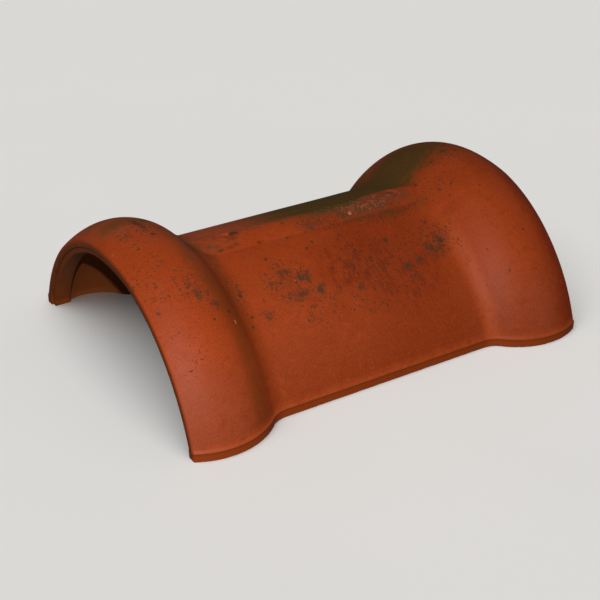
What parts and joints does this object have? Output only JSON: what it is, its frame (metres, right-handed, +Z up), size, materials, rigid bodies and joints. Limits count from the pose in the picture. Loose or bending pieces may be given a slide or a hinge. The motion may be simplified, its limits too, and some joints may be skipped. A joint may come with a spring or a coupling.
{
  "type": "clay ridge tile",
  "caption": "Half-barrel ridge tile of fired terracotta with a rolled collar at each end, a low rib along the crown and a plain band along its feet.",
  "frame": {"origin": "on the floor under the middle of the tile, centred between the two end faces and between the two feet", "axes": "+X along the ridge from one collar to the other, +Y across the ridge, +Z up through the crown"},
  "size_m": [0.42, 0.331, 0.1364],
  "materials": {
    "fired_clay": "satin"
  },
  "bodies": {
    "root": {"ridge_tile": "fired_clay"}
  },
  "joints": []
}
